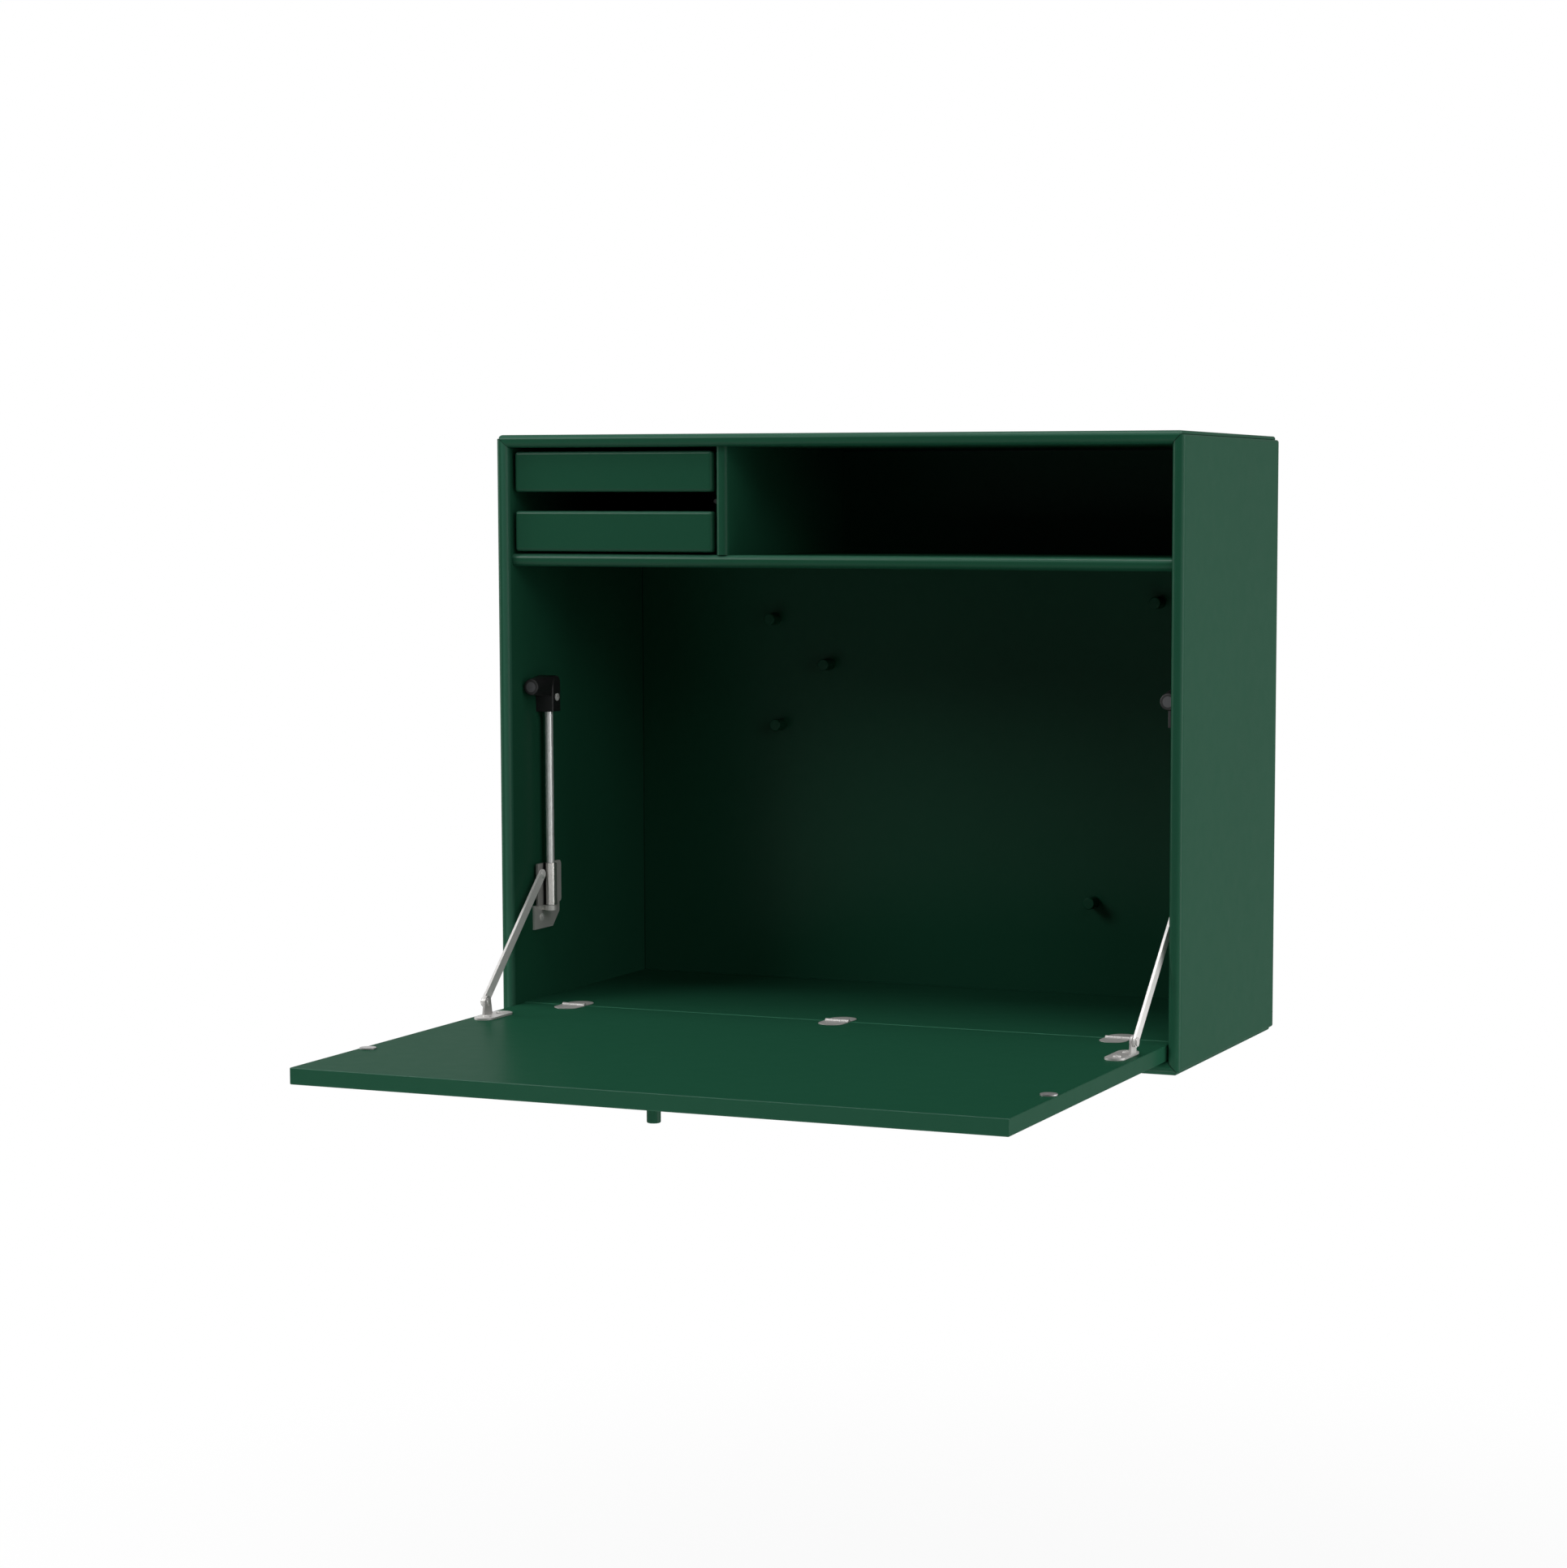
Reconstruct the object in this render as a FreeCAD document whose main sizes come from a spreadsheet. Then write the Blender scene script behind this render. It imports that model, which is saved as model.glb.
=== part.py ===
# Fold down wall desk: a mitred wall cabinet with a drop flap on three flush hinges,
# two sliding brake stays with magnet heads, a shelf, a divider and two trays.
# Origin on the wall plane, midway between the two wall screws. Front faces -Y, up is +Z.
import FreeCAD, Part
import Sketcher
import math
import os
import re

doc = FreeCAD.newDocument("wall_desk")
sheet = doc.addObject("Spreadsheet::Sheet", "dims")

# Sizes in millimetres
SIZES = [
    ("cab_width", 696, "cabinet width"),
    ("cab_height", 582, "cabinet height"),
    ("cab_depth", 300, "cabinet depth"),
    ("board", 12, "board thickness"),
    ("front_round", 5, "rounding of the front edges"),
    ("tip_round", 2.5, "rounding of the sharp mitre edges"),
    ("spline_wide", 9, "width of the mitre tongues"),
    ("spline_thk", 3, "thickness of the mitre tongues"),
    ("spline_inset", 25, "mitre tongue end to front and back edge"),
    ("wall_inset", 86, "wall screw to the side panel"),
    ("wall_hole", 6, "wall screw hole"),
    ("recess", 9, "front edge to shelf, trays and closed flap"),
    ("upper_clear", 102, "clear height of the upper compartment"),
    ("left_cell", 217.5, "clear width of the tray cell"),
    ("dowel_dia", 6, "dowel diameter"),
    ("dowel_bite", 7, "dowel length in each board"),
    ("dowel_inset", 50, "dowel to the back panel and the shelf front"),
    ("flap_thk", 15, "flap thickness"),
    ("flap_under", 0.5, "gap under the open flap"),
    ("flap_side", 1.5, "gap at each end of the flap"),
    ("flap_top", 1.5, "gap over the closed flap"),
    ("flap_round", 1, "rounding of the flap edges"),
    ("seam", 1, "gap between flap and floor board"),
    ("floor_round", 1, "rounding of the floor board at the seam"),
    ("knob_dia", 12, "knob and peg diameter"),
    ("knob_len", 17, "knob and peg length"),
    ("knob_round", 1.2, "rounding of the knob end"),
    ("knob_inset", 37, "knob to the flap's front edge"),
    ("spigot_dia", 6, "knob spigot diameter"),
    ("spigot_len", 8, "knob spigot length"),
    ("peg_a_left", 183, "first peg, left of the middle"),
    ("peg_a_drop", 57.5, "first peg, under the shelf"),
    ("peg_b_left", 123, "second peg, left of the middle"),
    ("peg_b_drop", 103, "second peg, under the shelf"),
    ("peg_c_left", 177, "third peg, left of the middle"),
    ("peg_c_drop", 166, "third peg, under the shelf"),
    ("peg_d_right", 232, "fourth peg, right of the middle"),
    ("peg_d_drop", 36, "fourth peg, under the shelf"),
    ("peg_e_right", 165, "fifth peg, right of the middle"),
    ("peg_e_rise", 93, "fifth peg, above the floor board"),
    ("hinge_inset", 55, "outer hinges to the side panels"),
    ("leaf_wide", 26, "hinge leaf width"),
    ("leaf_reach", 26, "hinge leaf reach from the axis"),
    ("leaf_thk", 2, "hinge leaf thickness"),
    ("leaf_proud", 0.5, "hinge leaf above the board"),
    ("cup_deep", 9, "hinge cup depth under the board surface"),
    ("cup_dia", 18, "hinge cup diameter"),
    ("barrel_dia", 5, "hinge barrel diameter"),
    ("barrel_len", 24, "hinge barrel length"),
    ("barrel_room", 0.4, "room round the hinge barrel"),
    ("hinge_pin_dia", 2.5, "hinge pin diameter"),
    ("part_gap", 0.3, "gap between moving plates"),
    ("run_gap", 0.05, "running clearance of pins and sleeves"),
    ("stay_offset", 10, "side panel to the stay's middle plane"),
    ("rod_dia", 8, "stay rod diameter"),
    ("rod_behind", 38, "hinge axis to the rod, in depth"),
    ("rod_low", 88.5, "rod end above the flap surface"),
    ("rod_bite", 9.5, "rod length in the stay head"),
    ("strike_ahead", 310.5, "hinge axis to the strike discs"),
    ("strike_dia", 15, "strike disc diameter"),
    ("strike_thk", 2, "strike disc thickness"),
    ("strike_proud", 1.2, "strike disc above the flap"),
    ("head_wide", 19, "stay head width"),
    ("head_deep", 16, "stay head depth"),
    ("head_soft", 1.2, "rounding of the stay head edges"),
    ("head_brow", 7, "rounding over the stay head front"),
    ("head_drop", 25.5, "stay head below the magnet axis"),
    ("head_rise", 10, "stay head above the magnet axis"),
    ("boss_dia", 15.5, "magnet boss diameter"),
    ("magnet_dia", 10, "magnet diameter"),
    ("magnet_len", 20, "magnet length"),
    ("head_screw_drop", 11.2, "head screw below the magnet axis"),
    ("screw_head", 7.5, "screw head diameter"),
    ("screw_head_thk", 1.5, "screw head thickness"),
    ("screw_dia", 3.5, "screw shank diameter"),
    ("screw_bite", 8, "screw length in the board"),
    ("foot_low", 69.5, "stay foot above the flap surface"),
    ("foot_tall", 23.5, "stay foot height"),
    ("foot_thk", 2, "stay foot thickness"),
    ("foot_ahead", 19, "stay foot in front of the rod"),
    ("foot_back", 33, "stay foot behind the rod"),
    ("foot_cut", 14, "cut corner of the stay foot"),
    ("foot_screw_up", 11, "foot screw above the foot's lower edge"),
    ("foot_screw_ahead", 4, "foot screw in front of the rod"),
    ("clip_tall", 5, "height of the foot's rod clip"),
    ("ring_dia", 13, "slider ring and rod clip outer diameter"),
    ("brake_dia", 10, "brake sleeve outer diameter"),
    ("slider_rest", 0.5, "gap between slider and foot"),
    ("slider_tall", 41.5, "slider height"),
    ("slider_thk", 2, "slider plate thickness"),
    ("slider_ahead", 18.5, "slider plate in front of the rod"),
    ("slider_back", 30, "slider plate behind the rod"),
    ("slider_round", 4, "slider plate corner rounding"),
    ("pivot_behind", 25.3, "hinge axis to the slider pivot, in depth"),
    ("pivot_up", 124.5, "slider pivot above the flap surface"),
    ("arm_wide", 10, "arm width"),
    ("arm_thk", 2.5, "arm thickness"),
    ("lug_ahead", 92, "hinge axis to the flap pivot"),
    ("lug_up", 13.1, "flap pivot above the flap surface"),
    ("lug_thk", 2, "bracket lug thickness"),
    ("lug_wide", 17, "bracket lug width at its foot"),
    ("lug_round", 6, "bracket lug end radius"),
    ("base_wide", 19.6, "bracket base width"),
    ("base_long", 54, "bracket base length"),
    ("base_thk", 1.8, "bracket base thickness"),
    ("base_shift", 4, "bracket base centre in front of the flap pivot"),
    ("base_screws", 26, "bracket screw spacing"),
    ("rivet_dia", 5, "rivet shank diameter"),
    ("rivet_head", 8, "rivet head diameter"),
    ("rivet_head_thk", 1.5, "rivet head thickness"),
    ("tail_thk", 1, "rivet tail thickness"),
    ("tray_side", 3.5, "gap at each side of a tray"),
    ("tray_low", 2.5, "gap under the lower tray"),
    ("finger_gap", 18.5, "gap between the tray fronts"),
    ("tray_top", 4, "gap over the upper tray"),
    ("tray_clear", 14, "tray to the back panel"),
    ("tray_front_thk", 12, "tray front thickness"),
    ("tray_round", 3, "tray front edge rounding"),
    ("tray_wall_thk", 9, "tray side and back thickness"),
    ("tray_wall_low", 2, "tray walls above the front's lower edge"),
    ("tray_wall_drop", 5.5, "tray walls under the front's upper edge"),
    ("tray_floor_thk", 4, "tray bottom thickness"),
    ("tray_floor_up", 3, "tray bottom above the walls' lower edge"),
    ("tray_floor_bite", 4, "tray bottom's bite in its grooves"),
    ("groove_drop", 8, "runner under the walls' upper edge"),
    ("groove_deep", 3.5, "runner groove depth"),
    ("runner_tall", 8, "runner height"),
    ("runner_wide", 6.5, "runner width"),
    ("runner_inset", 4, "runner behind the tray front"),
]
for row, (alias, size, note) in enumerate(SIZES, 1):
    sheet.set(f"A{row}", note)
    sheet.set(f"B{row}", str(size))
    sheet.setAlias(f"B{row}", alias)
doc.recompute()

NAMES = re.compile(r"\b(" + "|".join(alias for alias, size, note in SIZES) + r")\b")
NODES = []


def cells(text):
    return NAMES.sub(r"dims.\1", str(text))


def number(text):
    return float(sheet.evalExpression(cells(text)))


def bind(thing, **sizes):
    for name, text in sizes.items():
        thing.setExpression(name, cells(text))
    return thing


def place(thing, x=0, y=0, z=0, turn=None):
    if turn:
        thing.Placement = FreeCAD.Placement(FreeCAD.Vector(), FreeCAD.Rotation(*turn))
    for axis, text in (("x", x), ("y", y), ("z", z)):
        thing.setExpression(f"Placement.Base.{axis}", cells(text))
    return thing


def node(thing, label):
    thing.Label = label
    NODES.append(thing)
    return thing


def new_body(name):
    return doc.addObject("PartDesign::Body", name)


def sketch(body, plane, at, loops):
    """Draws closed loops of lines and arcs, or circles, on one of the body's own planes."""
    drawn = body.newObject("Sketcher::SketchObject", f"{body.Name}_sketch")
    for feature in body.Origin.OriginFeatures:
        if feature.Role == f"{plane}_Plane":
            drawn.AttachmentSupport = (feature, [""])
    drawn.MapMode = "FlatFace"
    drawn.setExpression("AttachmentOffset.Base.z", cells(f"-({at})" if plane == "XZ" else at))
    limits = []

    def fix(kind, args, text):
        limits.append(text)
        drawn.addConstraint(Sketcher.Constraint(kind, *args, number(text)))
        drawn.setExpression(f"Constraints[{drawn.ConstraintCount - 1}]", cells(text))

    for loop in loops:
        if loop[0] == "circle":
            x, y, radius = (number(text) for text in loop[1:])
            curve = Part.Circle(FreeCAD.Vector(x, y, 0), FreeCAD.Vector(0, 0, 1), radius)
            index = drawn.addGeometry(curve, False)
            fix("DistanceX", (index, 3), loop[1])
            fix("DistanceY", (index, 3), loop[2])
            fix("Radius", (index,), loop[3])
            continue
        ends = []
        for count, step in enumerate(loop):
            after = loop[(count + 1) % len(loop)]
            start = FreeCAD.Vector(number(step[0]), number(step[1]), 0)
            end = FreeCAD.Vector(number(after[0]), number(after[1]), 0)
            if len(step) == 2:
                index = drawn.addGeometry(Part.LineSegment(start, end), False)
                ends.append((index, 1, 2))
                continue
            radius = number(step[2])
            left = step[3] == "left"
            along = end - start
            side = FreeCAD.Vector(-along.y, along.x, 0) if left else FreeCAD.Vector(along.y, -along.x, 0)
            side.normalize()
            centre = (start + end) * 0.5 + side * math.sqrt(max(radius ** 2 - along.Length ** 2 / 4, 0))
            first, last = (start, end) if left else (end, start)
            turns = [math.atan2(p.y - centre.y, p.x - centre.x) for p in (first, last)]
            circle = Part.Circle(centre, FreeCAD.Vector(0, 0, 1), radius)
            index = drawn.addGeometry(Part.ArcOfCircle(circle, turns[0], turns[1]), False)
            ends.append((index, 1, 2) if left else (index, 2, 1))
        for count, step in enumerate(loop):
            here = ends[count]
            before = ends[count - 1]
            drawn.addConstraint(Sketcher.Constraint("Coincident", before[0], before[2], here[0], here[1]))
            fix("DistanceX", here[:2], step[0])
            fix("DistanceY", here[:2], step[1])
            if len(step) > 2:
                fix("Radius", here[:1], step[2])
    return drawn


def grow(body, kind, drawn, length, back=False):
    """Pads or pockets a sketch by a length, along its normal or against it."""
    feature = body.newObject(f"PartDesign::{kind}", f"{body.Name}_{kind.lower()}")
    feature.Profile = drawn
    feature.Reversed = back
    body.Tip = feature
    return bind(feature, Length=length)


def spin(body, drawn):
    """Turns a sketch on the XZ plane once round the body's own Z axis."""
    feature = body.newObject("PartDesign::Revolution", f"{body.Name}_turned")
    feature.Profile = drawn
    feature.ReferenceAxis = (drawn, ["V_Axis"])
    feature.Angle = 360
    body.Tip = feature
    return feature


def soften(body, radius, chosen=lambda edge: True):
    """Rounds the chosen edges of the body's last feature."""
    doc.recompute()
    last = body.Tip
    edges = [f"Edge{n}" for n, edge in enumerate(last.Shape.Edges, 1) if chosen(edge)]
    feature = body.newObject("PartDesign::Fillet", f"{body.Name}_rounded")
    feature.Base = (last, edges)
    body.Tip = feature
    return bind(feature, Radius=radius)


def rectangle(x0, y0, x1, y1):
    return [(x0, y0), (x1, y0), (x1, y1), (x0, y1)]


def slab(name, x, y, z):
    """A plain board between pairs of planes."""
    made = doc.addObject("Part::Box", name)
    bind(made, Length=f"({x[1]}) - ({x[0]})", Width=f"({y[1]}) - ({y[0]})", Height=f"({z[1]}) - ({z[0]})")
    return place(made, x[0], y[0], z[0])


def pin(name, radius, length, x, y, z, turn=None):
    made = doc.addObject("Part::Cylinder", name)
    bind(made, Radius=radius, Height=length)
    return place(made, x, y, z, turn)


def cut(name, base, tools):
    tool = tools[0]
    if len(tools) > 1:
        tool = doc.addObject("Part::MultiFuse", f"{name}_room")
        tool.Shapes = tools
    made = doc.addObject("Part::Cut", name)
    made.Base = base
    made.Tool = tool
    return made


def group(name, things):
    made = doc.addObject("Part::Compound", name)
    made.Links = things
    return made


def mirrored(name, thing):
    made = doc.addObject("Part::Mirroring", name)
    made.Source = thing
    made.Normal = FreeCAD.Vector(1, 0, 0)
    return made


ALONG_X = (FreeCAD.Vector(0, 1, 0), 90)
TO_FRONT = (FreeCAD.Vector(1, 0, 0), 90)
DOWN = (FreeCAD.Vector(1, 0, 0), 180)

# Planes that several pieces share
TOP = "(board + upper_clear / 2)"
UNDER = f"({TOP} - cab_height)"
MIDDLE = f"({TOP} - cab_height / 2)"
FRONT = "(-cab_depth)"
INNER = "(cab_width / 2 - board)"
FLOOR = f"({UNDER} + board)"
CEILING = f"({TOP} - board)"
SURFACE = f"({FLOOR} + flap_under + flap_thk)"
HINGE_Y = f"({FRONT} + recess + flap_thk)"
SHELF_LOW = f"({CEILING} - upper_clear - board)"
SHELF_TOP = f"({SHELF_LOW} + board)"
INSET = f"({FRONT} + recess)"
BACK = "(-board)"
FLAP_EDGE = f"({HINGE_Y} - ({SHELF_LOW} - {SURFACE} - flap_top))"
DIVIDER = f"(left_cell - {INNER})"


# Cabinet panels: a board with a rounded front edge, its ends mitred, the sharp mitre edges rounded
def panel(name, length, x, z, angle):
    body = new_body(f"{name}_blank")
    profile = [
        ("0", "0"),
        ("0", "front_round - cab_depth", "front_round", "left"),
        ("front_round", "-cab_depth"),
        ("board - front_round", "-cab_depth", "front_round", "left"),
        ("board", "front_round - cab_depth"),
        ("board", "0"),
    ]
    grow(body, "Pad", sketch(body, "XY", f"-({length}) / 2", [profile]), length)
    tangent = "tip_round * (1 + sqrt(2))"
    touch = "tip_round * (1 + sqrt(2) / 2)"
    waste = []
    for sign, turn in (("", "left"), ("-", "right")):
        end = f"({length}) / 2"
        waste.append([
            ("2 * board", f"{sign}({end} - 2 * board)"),
            (touch, f"{sign}({end} - {touch})", "tip_round", turn),
            ("0", f"{sign}({end} - {tangent})"),
            ("-board", f"{sign}({end} - {tangent})"),
            ("-board", f"{sign}({end} + board)"),
            ("2 * board", f"{sign}({end} + board)"),
        ])
    grow(body, "Pocket", sketch(body, "XZ", "0", waste), "cab_depth", True)
    return place(body, x, 0, z, (FreeCAD.Vector(0, 1, 0), angle))


left_blank = panel("left_side", "cab_height", "-cab_width / 2", MIDDLE, 0)
right_blank = panel("right_side", "cab_height", "cab_width / 2", MIDDLE, 180)
top_blank = panel("top", "cab_width", "0", TOP, 90)
bottom_blank = panel("bottom", "cab_width", "0", UNDER, -90)

# Loose tongues across the four mitres
splines = []
for name, x, z, angle in (("low_left", "-1", UNDER, 45), ("low_right", "1", UNDER, -45),
                          ("up_left", "-1", TOP, -45), ("up_right", "1", TOP, 45)):
    body = new_body(f"spline_{name}")
    loop = rectangle("-spline_wide / 2", "-spline_thk / 2", "spline_wide / 2", "spline_thk / 2")
    grow(body, "Pad", sketch(body, "XZ", "-spline_inset", [loop]), "cab_depth - 2 * spline_inset")
    inward = "board / 2" if z == UNDER else "-board / 2"
    place(body, f"{x} * (cab_width / 2 - board / 2)", 0, f"{z} + {inward}", (FreeCAD.Vector(0, 1, 0), angle))
    splines.append(body)
node(group("mitre_splines", splines), "mitre_splines")

# Dowels of the shelf and the divider
dowels = []
for name, y in (("front", f"{INSET} + dowel_inset"), ("back", f"{BACK} - dowel_inset")):
    for side, x in (("left", f"-{INNER}"), ("right", INNER)):
        dowels.append(pin(f"dowel_shelf_{side}_{name}", "dowel_dia / 2", "2 * dowel_bite",
                          f"{x} - dowel_bite", y, f"{SHELF_LOW} + board / 2", ALONG_X))
    for level, z in (("low", SHELF_TOP), ("up", CEILING)):
        dowels.append(pin(f"dowel_divider_{level}_{name}", "dowel_dia / 2", "2 * dowel_bite",
                          f"{DIVIDER} + board / 2", y, f"{z} - dowel_bite"))
node(group("carcass_dowels", dowels), "carcass_dowels")

# Turned knob and the five back pegs: one form, with a spigot glued in the board
def turned_knob(name):
    body = new_body(name)
    profile = [
        ("0", "-spigot_len"),
        ("spigot_dia / 2", "-spigot_len"),
        ("spigot_dia / 2", "0"),
        ("knob_dia / 2", "0"),
        ("knob_dia / 2", "knob_len - knob_round", "knob_round", "left"),
        ("knob_dia / 2 - knob_round", "knob_len"),
        ("0", "knob_len"),
    ]
    spin(body, sketch(body, "XZ", "0", [profile]))
    return body


pegs = [place(turned_knob(f"peg_{letter}"), x, BACK, z, TO_FRONT) for letter, x, z in (
    ("a", "-peg_a_left", f"{SHELF_LOW} - peg_a_drop"),
    ("b", "-peg_b_left", f"{SHELF_LOW} - peg_b_drop"),
    ("c", "-peg_c_left", f"{SHELF_LOW} - peg_c_drop"),
    ("d", "peg_d_right", f"{SHELF_LOW} - peg_d_drop"),
    ("e", "peg_e_right", f"{SURFACE} + peg_e_rise"),
)]
node(group("back_pegs", pegs), "back_pegs")
knob = node(place(turned_knob("flap_knob"), 0, f"{FLAP_EDGE} + knob_inset", f"{SURFACE} - flap_thk", DOWN),
            "flap_knob")

# Back panel with its two wall screw holes
back = new_body("back_blank")
holes = [("circle", f"{side}({INNER} - wall_inset)", "0", "wall_hole / 2") for side in ("-", "")]
loop = rectangle(f"-{INNER}", FLOOR, INNER, CEILING)
grow(back, "Pad", sketch(back, "XZ", "0", [loop] + holes), "board")
node(cut("back_panel", back, pegs), "back_panel")


# Shelf and divider, with rounded front edges
shelf = new_body("shelf_blank")
profile = [
    (BACK, SHELF_TOP),
    (f"{INSET} + front_round", SHELF_TOP, "front_round", "left"),
    (INSET, f"{SHELF_TOP} - front_round"),
    (INSET, f"{SHELF_LOW} + front_round", "front_round", "left"),
    (f"{INSET} + front_round", SHELF_LOW),
    (BACK, SHELF_LOW),
]
grow(shelf, "Pad", sketch(shelf, "YZ", f"-{INNER}", [profile]), f"2 * {INNER}")
node(cut("shelf", shelf, dowels), "shelf")

divider = new_body("divider_blank")
profile = [
    (DIVIDER, BACK),
    (DIVIDER, f"{INSET} + front_round", "front_round", "left"),
    (f"{DIVIDER} + front_round", INSET),
    (f"{DIVIDER} + board - front_round", INSET, "front_round", "left"),
    (f"{DIVIDER} + board", f"{INSET} + front_round"),
    (f"{DIVIDER} + board", BACK),
]
grow(divider, "Pad", sketch(divider, "XY", SHELF_TOP, [profile]), "upper_clear")
node(cut("divider", divider, dowels), "divider")

# Flush flap hinges: two leaves with a cup each, a barrel of three knuckles and a pin
LEAF_LOW = "leaf_proud - leaf_thk"
LEAF_NEAR = "barrel_dia / 2 + barrel_room"
KNUCKLE = "barrel_len / 3"


def leaf(name, sign, knuckles, bore):
    body = new_body(name)
    turn = "left" if sign == "" else "right"
    half = "leaf_wide / 2"
    shoulder = f"{sign}(leaf_reach - {half})"
    plate = [
        (f"-({half})", f"{sign}({LEAF_NEAR})"),
        (half, f"{sign}({LEAF_NEAR})"),
        (half, shoulder, half, turn),
        ("0", f"{sign}leaf_reach", half, turn),
        (f"-({half})", shoulder),
    ]
    grow(body, "Pad", sketch(body, "XY", LEAF_LOW, [plate]), "leaf_thk")
    cup = ("circle", "0", shoulder, "cup_dia / 2")
    grow(body, "Pad", sketch(body, "XY", "-cup_deep", [cup]), f"cup_deep + {LEAF_LOW}")
    for low, high in knuckles:
        barrel = ("circle", "0", "0", "barrel_dia / 2")
        grow(body, "Pad", sketch(body, "YZ", low, [barrel]), f"({high}) - ({low})")
        web = rectangle("0", LEAF_LOW, f"{sign}({LEAF_NEAR} + leaf_thk)", "leaf_proud")
        grow(body, "Pad", sketch(body, "YZ", low, [web]), f"({high}) - ({low})")
    hole = ("circle", "0", "0", bore)
    grow(body, "Pocket", sketch(body, "YZ", "-leaf_wide", [hole]), "2 * leaf_wide", True)
    return body


floor_rooms = []
flap_rooms = []
gap = "part_gap / 2"
for name, x in (("left", f"(hinge_inset - {INNER})"), ("mid", "0"), ("right", f"({INNER} - hinge_inset)")):
    outer = ((f"-barrel_len / 2", f"-{KNUCKLE} / 2 - {gap}"), (f"{KNUCKLE} / 2 + {gap}", "barrel_len / 2"))
    inner = ((f"{gap} - {KNUCKLE} / 2", f"{KNUCKLE} / 2 - {gap}"),)
    fixed = place(leaf(f"hinge_{name}_floor_leaf", "", outer, "hinge_pin_dia / 2"), x, HINGE_Y, SURFACE)
    swings = place(leaf(f"hinge_{name}_flap_leaf", "-", inner, "hinge_pin_dia / 2 + run_gap"), x, HINGE_Y, SURFACE)
    node(fixed, fixed.Name)
    node(swings, swings.Name)
    node(pin(f"hinge_{name}_pin", "hinge_pin_dia / 2", "barrel_len", f"{x} - barrel_len / 2",
             HINGE_Y, SURFACE, ALONG_X), f"hinge_{name}_pin")
    room = pin(f"hinge_{name}_room", LEAF_NEAR, "barrel_len + 2 * barrel_room",
               f"{x} - barrel_len / 2 - barrel_room", HINGE_Y, SURFACE, ALONG_X)
    floor_rooms += [fixed, room]
    flap_rooms += [swings, room]

# Floor board behind the seam
floor = new_body("floor_blank")
loop = rectangle(f"-{INNER}", f"{HINGE_Y} + seam / 2", INNER, BACK)
grow(floor, "Pad", sketch(floor, "XY", FLOOR, [loop]), f"{SURFACE} - ({FLOOR})")
seam_y = number(f"{HINGE_Y} + seam / 2")
surface_z = number(SURFACE)
soften(floor, "floor_round", lambda edge: abs(edge.CenterOfMass.y - seam_y) < 0.01
       and abs(edge.CenterOfMass.z - surface_z) < 0.01)
node(cut("floor_board", floor, floor_rooms), "floor_board")


# Screws: a domed head and a plain shank
def screw(name, length, x, y, z, turn=None):
    body = new_body(name)
    profile = [
        ("0", f"-({length})"),
        ("screw_dia / 2", f"-({length})"),
        ("screw_dia / 2", "0"),
        ("screw_head / 2", "0"),
        ("screw_head / 2", "screw_head_thk / 2"),
        ("screw_dia / 2", "screw_head_thk"),
        ("0", "screw_head_thk"),
    ]
    spin(body, sketch(body, "XZ", "0", [profile]))
    return place(body, x, y, z, turn)


# Left stay: head, magnet, rod and foot on the side panel
STAY_X = f"(stay_offset - {INNER})"
ROD_Y = f"({HINGE_Y} + rod_behind)"
MAGNET_Z = f"({SURFACE} + strike_ahead)"
HEAD_LOW = f"({MAGNET_Z} - head_drop)"
BOSS_Y = f"({HINGE_Y} + strike_proud + part_gap)"
head = new_body("left_stay_head")
front = f"{ROD_Y} - head_deep / 2"
rear = f"{ROD_Y} + head_deep / 2"
dome = "head_deep / 2"
profile = [
    (front, HEAD_LOW),
    (rear, HEAD_LOW),
    (rear, f"{MAGNET_Z} + head_rise - {dome}", dome, "left"),
    (ROD_Y, f"{MAGNET_Z} + head_rise"),
    (f"{front} + head_brow", f"{MAGNET_Z} + head_rise", "head_brow", "left"),
    (front, f"{MAGNET_Z} + head_rise - head_brow"),
]
grow(head, "Pad", sketch(head, "YZ", f"-{INNER}", [profile]), "head_wide")
boss = ("circle", STAY_X, MAGNET_Z, "boss_dia / 2")
grow(head, "Pad", sketch(head, "XZ", ROD_Y, [boss]), f"{ROD_Y} - {BOSS_Y}")
inward = number(f"head_wide - {INNER}")
foremost = number(BOSS_Y)
soften(head, "head_soft", lambda edge: abs(edge.CenterOfMass.x - inward) < 0.01
       or abs(edge.CenterOfMass.y - foremost) < 0.01)
bore = ("circle", STAY_X, MAGNET_Z, "magnet_dia / 2")
grow(head, "Pocket", sketch(head, "XZ", BOSS_Y, [bore]), "magnet_len")
bore = ("circle", STAY_X, ROD_Y, "rod_dia / 2")
grow(head, "Pocket", sketch(head, "XY", HEAD_LOW, [bore]), "rod_bite", True)
bore = ("circle", ROD_Y, f"{MAGNET_Z} - head_screw_drop", "screw_dia / 2")
grow(head, "Pocket", sketch(head, "YZ", f"-{INNER}", [bore]), "head_wide", True)
magnet = pin("left_stay_magnet", "magnet_dia / 2", "magnet_len", STAY_X, f"{BOSS_Y} + magnet_len", MAGNET_Z, TO_FRONT)
rod = pin("left_stay_rod", "rod_dia / 2", f"{HEAD_LOW} + rod_bite - {SURFACE} - rod_low",
          STAY_X, ROD_Y, f"{SURFACE} + rod_low")

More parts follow.
